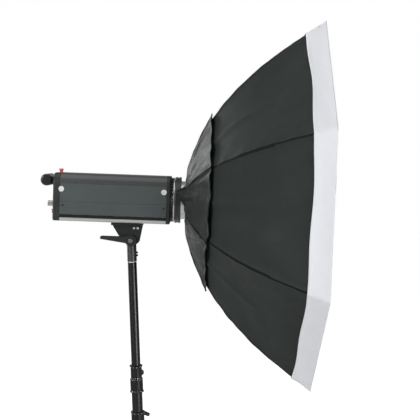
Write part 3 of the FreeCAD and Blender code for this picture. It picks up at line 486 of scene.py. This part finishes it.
def shell_shape(i, u, v, chord, length):
    """Taut between ribs, a little hollow across, with puckers along the seams and a few long folds."""
    edge = np.minimum(u, 1 - u) * chord
    seed = i * 1.7
    hollow = -SHELL_HOLLOW * chord * arch(u) * smoothstep(v, 0.05, 0.35)
    pucker = SHELL_PUCKER * noise_along(length, lambda d: (d * 34.0, u * 3.0, seed))
    pucker *= np.exp(-((edge - 0.012) / 0.022) ** 2)
    drift = SHELL_DRIFT * noise_along(length, lambda d: (d * 6.0, u * 2.2 + seed, 4.0 + seed))
    drift *= smoothstep(edge, 0.004, 0.06)
    slant = SHELL_SLANT * noise_along(length, lambda d: (d * 15.0 + u * 9.0, u * 2.0, 9.0 + seed))
    slant *= smoothstep(edge, 0.004, 0.03) * smoothstep(v, 0.50, 0.95) * np.exp(-(edge / 0.11) ** 2)
    off_line = (u - 0.5 - 0.03 * math.sin(seed)) * chord
    fold = SHELL_FOLD * np.exp(-(off_line / 0.009) ** 2)
    fold *= smoothstep(v, 0.18, 0.30) * (1 - smoothstep(v, 0.50, 0.75))
    if i == SIDE_FACET:
        belly = smoothstep(v, 0.20, 0.55) * (1 - smoothstep(v, 0.66, 0.82)) * smoothstep(edge, 0, 0.03)
        fold += SHELL_BELLY * math.exp(-((u - 0.74) / 0.15) ** 2) * belly
    ridge = SHELL_RIDGE * np.exp(-(edge / 0.0060) ** 2) - SHELL_GROOVE * np.exp(-(edge / 0.0012) ** 2)
    wave = 0.0030 * math.sin(2 * math.pi * u * 1.5 + seed) * arch(u)
    shift = (wave - 0.004 * arch(u)) * smoothstep(v, 0.8, 1.0)
    return hollow + pucker + drift + slant + fold + ridge - SHELL_SINK, shift


SHELL_ROWS = 90
SHELL_COLUMNS = 48
SHELL_THICKNESS = 0.0012

# Its materials are the cloth, its lining, a darker copy of the cloth that paints shade along the seams and
# the hem, and the lining behind that painted shade.
points, uv = octagon_sheet(SHELL_POLES, SHELL_ROWS, SHELL_COLUMNS, shell_shape)
shell = ring_mesh("shell_fabric", points, uv, SHELL_ROWS, [FABRIC, LINING, SEAM_SHADE_FABRIC, LINING], BOX,
                  seam_shade_faces(SHELL_ROWS, SHELL_COLUMNS, shade_slot=2, shaded_edge_rows=1))


def lie_on(obj, surface, clearance, reach):
    """Lifts the points of a thin sheet that dip below the surface it lies on."""
    for vertex in obj.data.vertices:
        place, normal, _, distance = surface.find_nearest(vertex.co)
        height = (vertex.co - place).dot(normal)
        if distance < reach and height < clearance:
            vertex.co += normal * (clearance - height)


shell_surface = BVHTree.FromPolygons([vertex.co for vertex in shell.data.vertices],
                                     [tuple(polygon.vertices) for polygon in shell.data.polygons])
thicken(shell, SHELL_THICKNESS, inner_material=1, rim_material=2)
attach(shell, "softbox")
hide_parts("shell_panels")


# Heights of the skirt's folds, in metres, except the hollow, which is a share of the panel's width.
SKIRT_HOLLOW = 0.030
SKIRT_GATHER = 0.0040
SKIRT_LOOSE_GATHER = 0.0068
SKIRT_SMALL = 0.0020
SKIRT_RIDGE = 0.0022
SKIRT_LIFT = 0.0045
SKIRT_HEM = 0.0014
SKIRT_CORNER_PULL = 0.010


def skirt_shape(i, u, v, chord, length):
    """The rear skirt is looser: it lifts off the shell at its free edge and is wrinkled where it gathers."""
    edge = np.minimum(u, 1 - u) * chord
    seed = 20 + i * 2.3
    hollow = -SKIRT_HOLLOW * chord * arch(u) * smoothstep(v, 0.15, 0.6) * (1 - 0.5 * smoothstep(v, 0.7, 1.0))
    gather = SKIRT_LOOSE_GATHER if i in LOOSE_FACETS else SKIRT_GATHER
    gather = gather * noise_along(length, lambda d: (u * 7.0, d * 9.0, seed))
    gather *= smoothstep(edge, 0.002, 0.03) * smoothstep(v, 0.05, 0.3)
    small = SKIRT_SMALL * noise_along(length, lambda d: (u * 15.0 + d * 20.0, d * 30.0, seed + 5))
    small *= smoothstep(v, 0.1, 0.4)
    ridge = SKIRT_RIDGE * np.exp(-(edge / 0.005) ** 2)
    lift = SKIRT_LIFT * smoothstep(v, 0.90, 1.0) * (0.6 + 0.4 * math.sin(u * 9 + seed))
    lift *= 0.2 + 0.8 * smoothstep(edge, 0, 0.03)
    hem = SKIRT_HEM * smoothstep(v, 0.962, 0.975)
    scallop = -0.006 * arch(u) + 0.0011 * math.sin(u * 14 + seed)
    if i == LOWER_FACET:
        scallop -= SKIRT_CORNER_PULL * float(1 - smoothstep(u, 0.70, 1.0))
    if i == SIDE_FACET:
        scallop -= SKIRT_CORNER_PULL * float(smoothstep(u, 0.86, 1.0))
    return hollow + gather + small + ridge + lift + hem, scallop * smoothstep(v, 0.70, 1.0)


TIP_BACK = 0.0165
TIP_RISE = 0.006
START_FORWARD = 0.006
TIP_WIDTHS = (math.radians(28), math.radians(12))


def pull_tip(columns):
    """One corner of the skirt is drawn back over the speed ring, ending in a point beside a rib. The rest
    of the skirt's start sits a little further forward."""
    for k, column in enumerate(columns):
        turn = math.atan2(column[-1, 2], column[-1, 1])
        turn = (turn - TIP_TURN + math.pi) % (2 * math.pi) - math.pi
        at_tip = math.exp(-(turn / TIP_WIDTHS[0 if turn > 0 else 1]) ** 2)
        fade = 1 - smoothstep(np.linspace(0, 1, len(column)), 0.0, 0.22)
        radius = np.hypot(column[:, 1], column[:, 2])
        grow = 1 + TIP_RISE * at_tip * fade / radius
        back = (TIP_BACK * at_tip - START_FORWARD * (1 - at_tip)) * fade
        columns[k] = np.stack([column[:, 0] - back, column[:, 1] * grow, column[:, 2] * grow], axis=1)
    return columns


SKIRT_ROWS = 60
SKIRT_COLUMNS = 28
SKIRT_THICKNESS = 0.0010
SKIRT_CLEARANCE = 0.0018
SKIRT_REACH = 0.02
points, uv = octagon_sheet(SKIRT_POLES, SKIRT_ROWS, SKIRT_COLUMNS, skirt_shape)
skirt = ring_mesh("rear_skirt_fabric", pull_tip(points), uv, SKIRT_ROWS, [SKIRT_FABRIC, SEAM_SHADE_FABRIC], BOX,
                  seam_shade_faces(SKIRT_ROWS, SKIRT_COLUMNS, shade_slot=1, shaded_edge_rows=2))
lie_on(skirt, shell_surface, SKIRT_CLEARANCE, SKIRT_REACH)
# The skirt's underside and edge take the darker copy: painted shade under the skirt and at its lifted edge.
thicken(skirt, SKIRT_THICKNESS, inner_material=1, rim_material=1)
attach(skirt, "softbox")
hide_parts("rear_skirt")


# The white diffuser: a stretched front face with a flared band that folds back over the rim.
BAND_START = 0.314
BAND_RISE = 0.70
BAND_R = 0.4782 + 0.0021
BAND_ROWS = 16
FRONT_S = 0.3650
FRONT_ROWS = 30
RIM_R = BAND_R + BAND_RISE * (FRONT_S - BAND_START)
RIM_CHORD = 2 * RIM_R * math.sin(HALF_SIDE)
DIFFUSER_COLUMNS = 36
DIFFUSER_THICKNESS = 0.0009


def band_column(i, u):
    """Points and UVs of the band from its free hem, which wanders a little between ribs, to the rim."""
    across = side_point(i, u)
    outward = side_outward(i)
    edge = min(u, 1 - u) * RIM_CHORD
    start = BAND_START + (0.0026 * math.sin(2 * math.pi * u * 1.2 + i * 1.9) + 0.003) * arch(u)
    verts, uvs = [], []
    for row in range(BAND_ROWS):
        v = row / (BAND_ROWS - 1)
        s = start + (FRONT_S - 0.0012 - start) * v
        middle = math.sin(math.pi * v)
        ruffle = 0.0022 * noise.noise(Vector((u * 9.0, v * 1.5, 40 + i * 2.1))) * middle
        crease = noise.noise(Vector((u * 34.0 + v * 5, v * 1.2, 55 + i)))
        crease *= 0.0016 * math.exp(-(edge / 0.05) ** 2)
        hollow = -0.0035 * arch(u) * middle
        hem = 0.0010 * (1 - float(smoothstep(v, 0.08, 0.15)))
        dart = -0.0016 * math.exp(-(edge / 0.004) ** 2) * middle
        offset = ruffle + crease + hollow + hem + dart
        y, z = across * (BAND_R + BAND_RISE * (s - BAND_START)) + outward * offset
        verts.append((s - 0.35 * offset, y, z))
        uvs.append((i * UV_PITCH + u * RIM_CHORD, v * 0.07))
    return verts, uvs


def front_column(i, u):
    """Points and UVs of the front face from the rim almost to its centre, billowed and pulled at the rim."""
    across = side_point(i, u)
    edge = min(u, 1 - u) * RIM_CHORD
    verts, uvs = [], []
    for row in range(FRONT_ROWS - 1):
        v = (row + 1) / FRONT_ROWS
        y, z = across * (RIM_R + 0.0002) * (1 - v)
        place = Vector((y * 4.0, z * 4.0, 3.0))
        billow = 0.0030 * noise.noise(place) + 0.0008 * noise.noise(place * 4)
        pull = 0.0026 * noise.noise(Vector((u * 26.0, v * 2.0, 70 + i)))
        pull *= math.exp(-v / 0.16) * math.exp(-(edge / 0.12) ** 2)
        round_edge = 0.0012 * float(smoothstep(v, 0.0, 0.06))
        s = FRONT_S - 0.0004 + round_edge + (billow + pull) * float(smoothstep(v, 0.0, 0.12))
        verts.append((s, y, z))
        uvs.append((y, z))
    return verts, uvs


def diffuser_mesh():
    total = SIDES * DIFFUSER_COLUMNS
    rows = BAND_ROWS + FRONT_ROWS - 1
    verts, uvs, faces = [], [], []
    for k in range(total):
        i, step = divmod(k, DIFFUSER_COLUMNS)
        u = crowded(step / DIFFUSER_COLUMNS)
        for column_verts, column_uvs in (band_column(i, u), front_column(i, u)):
            verts += column_verts
            uvs += column_uvs
    for k in range(total):
        right = (k + 1) % total
        for row in range(rows - 1):
            faces.append((k * rows + row, right * rows + row, right * rows + row + 1, k * rows + row + 1))
    centre = len(verts)
    verts.append((FRONT_S + 0.0008, 0, 0))
    uvs.append((0, 0))
    for k in range(total):
        faces.append((k * rows + rows - 1, (k + 1) % total * rows + rows - 1, centre))
    return mesh_object("front_diffuser_fabric", verts, faces, [WHITE], uvs, BOX)


diffuser = diffuser_mesh()
thicken(diffuser, DIFFUSER_THICKNESS)
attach(diffuser, "softbox")
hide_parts("front_diffuser")


BAFFLE_S = 0.2006
BAFFLE_R = 0.345
BAFFLE_COLUMNS = 16
BAFFLE_ROWS = 16
BAFFLE_THICKNESS = 0.0008
STRAP_START_R = 0.335
STRAP_LENGTH = 0.031
STRAP_HALF_WIDTH = 0.006
STRAP_STEPS = 5


def baffle_mesh():
    """The inner baffle hangs slightly slack between its eight corner straps."""
    total = SIDES * BAFFLE_COLUMNS
    verts, uvs, faces = [(0.2012, 0, 0)], [(0, 0)], []
    for ring in range(1, BAFFLE_ROWS + 1):
        for k in range(total):
            i, step = divmod(k, BAFFLE_COLUMNS)
            u = step / BAFFLE_COLUMNS
            y, z = side_point(i, u) * BAFFLE_R * ring / BAFFLE_ROWS * (1 - 0.02 * arch(u))
            bulge = 0.003 * (1 - (ring / BAFFLE_ROWS) ** 2) + 0.0012 * noise.noise(Vector((y * 9, z * 9, 1)))
            verts.append((BAFFLE_S + bulge, y, z))
            uvs.append((y, z))
    for k in range(total):
        faces.append((0, 1 + k, 1 + (k + 1) % total))
    for ring in range(BAFFLE_ROWS - 1):
        inner = 1 + ring * total
        outer = inner + total
        for k in range(total):
            after = (k + 1) % total
            faces.append((inner + k, outer + k, outer + after, inner + after))
    for i in range(SIDES):
        out = side_point(i, 0)
        sideways = np.array([-out[1], out[0]])
        first = len(verts)
        for j in range(STRAP_STEPS + 1):
            radius = STRAP_START_R + STRAP_LENGTH * j / STRAP_STEPS
            for side in (-STRAP_HALF_WIDTH, STRAP_HALF_WIDTH):
                y, z = out * radius + sideways * side
                verts.append((0.2000 + 0.0010 * math.sin(j * 1.1), y, z))
                uvs.append((side, radius))
        for a in range(first, first + 2 * STRAP_STEPS, 2):
            faces.append((a, a + 1, a + 3, a + 2))
    return mesh_object("inner_baffle_fabric", verts, faces, [BAFFLE], uvs, BOX)


baffle = baffle_mesh()
thicken(baffle, BAFFLE_THICKNESS, offset=0.0)
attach(baffle, "softbox")
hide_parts("inner_baffle")


# ---------------------------------------------------------------- clamp splines, painted glints


# The cross-section of one rib as (share of its half width, height above the clamp's face).
SPLINE_PROFILE = ((-1.0, -0.0004), (-0.6, 0.0005), (0.6, 0.0005), (1.0, -0.0004))
SPLINE_HALF_WIDTH = 0.0015
SPLINE_HALF_HEIGHT = 0.0009


def glint_spline_rows(name, top, rows, body):
    """Rows of small raised ribs round a clamp, in bright silver: painted glints on the black clamp's edges. A
    row is (depth below the top, radius, count, first angle).
    """
    verts, faces = [], []
    for depth, radius, count, first in rows:
        for n in range(count):
            angle = math.radians(first + 360.0 * n / count)
            start = len(verts)
            for end in (-SPLINE_HALF_HEIGHT, SPLINE_HALF_HEIGHT):
                for across, out in SPLINE_PROFILE:
                    turn = angle + across * SPLINE_HALF_WIDTH / radius
                    reach = radius + out
                    verts.append((reach * math.cos(turn), reach * math.sin(turn), top - depth + end))
            faces += [(start + a, start + a + 1, start + a + 5, start + a + 4) for a in range(3)]
            faces += [(start + 3, start + 2, start + 1, start), (start + 4, start + 5, start + 6, start + 7)]
            faces.append((start, start + 4, start + 7, start + 3))
    # The bright silver stands in for glints where the clamp's edges catch the light: painted highlight.
    obj = mesh_object(name, verts, faces, [MATS["knob_silver"]], smooth=False)
    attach(obj, body)


UPPER_CLAMP_TOP = 0.947
LOWER_CLAMP_TOP = 0.816
UPPER_ROWS = (
    (0.0030, 0.0180, 12, 10),
    (0.0352, 0.0157, 14, 4),
    (0.0388, 0.0179, 16, 12),
    (0.0715, 0.0190, 14, 0),
)
LOWER_ROWS = (
    (0.0030, 0.0196, 12, 8),
    (0.0352, 0.0184, 14, 4),
    (0.0715, 0.0215, 14, 0),
)
glint_spline_rows("upper_clamp_glint_splines", UPPER_CLAMP_TOP, UPPER_ROWS, "middle_section")
glint_spline_rows("lower_clamp_glint_splines", LOWER_CLAMP_TOP, LOWER_ROWS, "stand_base")


# ---------------------------------------------------------------- dial marks

REAR_FACE = -0.2110
DIAL_PLACE = (-0.042, -0.019)
DIAL_START = -45.0
DIAL_TRAVEL = 270.0
MARKS = 11
MARK_INNER_R = 0.0094
MARK_OUTER_R = 0.0112
LONG_MARK_OUTER_R = 0.0122
MARK_HALF_WIDTH = 0.00032
MARK_RISE = 0.00018
MARK_SINK = 0.0002


def dial_marks():
    """Eleven short raised marks round the power dial, over its 270 degree travel."""
    verts, faces = [], []
    for n in range(MARKS):
        angle = math.radians(DIAL_START + DIAL_TRAVEL * n / (MARKS - 1))
        out = (math.cos(angle), math.sin(angle))
        side = (-out[1] * MARK_HALF_WIDTH, out[0] * MARK_HALF_WIDTH)
        outer = LONG_MARK_OUTER_R if n % 5 == 0 else MARK_OUTER_R
        start = len(verts)
        for x in (REAR_FACE - MARK_RISE, REAR_FACE + MARK_SINK):
            for reach, across in ((MARK_INNER_R, -1), (outer, -1), (outer, 1), (MARK_INNER_R, 1)):
                y, z = (DIAL_PLACE[a] + out[a] * reach + side[a] * across for a in (0, 1))
                verts.append((x, y, z))
        faces += [(start, start + 1, start + 2, start + 3), (start + 7, start + 6, start + 5, start + 4)]
        for a in range(4):
            b = (a + 1) % 4
            faces.append((start + b, start + a, start + 4 + a, start + 4 + b))
    obj = mesh_object("dial_marks", verts, faces, [MATS["shoulder_white"]], matrix=HEAD, smooth=False)
    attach(obj, "head")


dial_marks()


# ---------------------------------------------------------------- stage, light and camera


def paper(name, colour, glow):
    """Matt studio paper: a faint mottle and tooth, with a little light of its own so that it stays white."""
    g = Graph(name)
    mottle = g.ramp(g.noise(0.8, 3.0), [(0.3, scaled(colour, 0.985)), (0.7, colour)])
    g.link(mottle, g.bsdf.inputs["Base Color"])
    g.link(g.bump(g.noise(60.0, 3.0), 0.0004, 0.3), g.bsdf.inputs["Normal"])
    g.set(Roughness=0.9, Specular_IOR_Level=0.1, Emission_Strength=glow, Emission_Color=(1, 1, 1, 1))
    return g.mat


STUDIO_R = 14.0
STUDIO_RINGS = 20
STUDIO_SPOKES = 64
DOME_DROP = 0.02


def spoke_ring(radius, height):
    """Points round a level circle."""
    turns = [2 * math.pi * k / STUDIO_SPOKES for k in range(STUDIO_SPOKES)]
    return [(radius * math.cos(turn), radius * math.sin(turn), height) for turn in turns]


def studio():
    """A round pale floor inside a pale dome. Both are seen, but add no light of their own to the object."""
    floor_points, dome_points = [], []
    for ring in range(1, STUDIO_RINGS + 1):
        floor_points += spoke_ring(STUDIO_R * (ring / STUDIO_RINGS) ** 2, 0.0)
    for ring in range(STUDIO_RINGS):
        rise = math.radians(90 * ring / STUDIO_RINGS)
        dome_points += spoke_ring(STUDIO_R * math.cos(rise), STUDIO_R * math.sin(rise) - DOME_DROP)
    floor_points.append((0, 0, 0))
    dome_points.append((0, 0, STUDIO_R))
    centre = STUDIO_RINGS * STUDIO_SPOKES
    last = centre - STUDIO_SPOKES
    faces, floor_cap, dome_cap = [], [], []
    for k in range(STUDIO_SPOKES):
        after = (k + 1) % STUDIO_SPOKES
        for start in range(0, last, STUDIO_SPOKES):
            above = start + STUDIO_SPOKES
            faces.append((start + k, start + after, above + after, above + k))
        floor_cap.append((after, k, centre))
        dome_cap.append((last + k, last + after, centre))
    floor_paper = paper("floor_paper", (0.88, 0.88, 0.88), 0.78)
    dome_paper = paper("dome_paper", (0.5, 0.5, 0.5), 0.85)
    floor = mesh_object("studio_floor", floor_points, faces + floor_cap, [floor_paper])
    dome = mesh_object("studio_dome", dome_points, faces + dome_cap, [dome_paper])
    for part in (floor, dome):
        part.visible_diffuse = part.visible_glossy = part.visible_transmission = part.visible_shadow = False


def area_light(name, place, target, size, power):
    data = bpy.data.lights.new(name, "AREA")
    data.shape = "RECTANGLE"
    data.size, data.size_y = size
    data.energy = power
    light = bpy.data.objects.new(name, data)
    light.location = place
    light.rotation_euler = (Vector(target) - Vector(place)).to_track_quat("-Z", "Y").to_euler()
    light.visible_camera = False
    bpy.context.scene.collection.objects.link(light)


studio()
world = bpy.data.worlds.new("studio")
world.use_nodes = True
background = world.node_tree.nodes["Background"]
background.inputs["Color"].default_value = (1.0, 1.0, 1.0, 1)
background.inputs["Strength"].default_value = 0.25
bpy.context.scene.world = world
area_light("top", (-0.3, -0.4, 3.6), (0, 0, 1.2), (2.6, 2.0), 15)
area_light("bounce", (0, -0.5, -0.3), (0, -0.5, 1.0), (6.0, 6.0), 42)
area_light("key", (-2.6, -2.6, 2.4), (0.1, 0, 1.35), (1.6, 2.2), 94)
area_light("fill", (2.4, -2.6, 0.8), (0.2, 0, 1.3), (1.6, 1.4), 52)
area_light("back_left", (-2.4, 2.4, 2.0), (0, 0, 1.3), (1.6, 2.4), 45)
area_light("back_right", (3.0, 2.0, 2.0), (0.3, 0, 1.4), (1.6, 2.4), 35)

CAMERA_PLACE = (0.202, -2.473, 1.522)
CAMERA_YAW = math.radians(-0.44)
CAMERA_PITCH = math.radians(90 - 3.39)
CAMERA_ROLL = math.radians(-1.82)
camera_data = bpy.data.cameras.new("camera")
camera_data.sensor_width = 36.0
camera_data.lens = 76.542857
camera = bpy.data.objects.new("camera", camera_data)
camera.matrix_world = (Matrix.Translation(CAMERA_PLACE) @ Matrix.Rotation(CAMERA_YAW, 4, "Z")
                       @ Matrix.Rotation(CAMERA_PITCH, 4, "X") @ Matrix.Rotation(CAMERA_ROLL, 4, "Z"))
bpy.context.scene.collection.objects.link(camera)
bpy.context.scene.camera = camera
bpy.context.scene.view_settings.view_transform = "Standard"
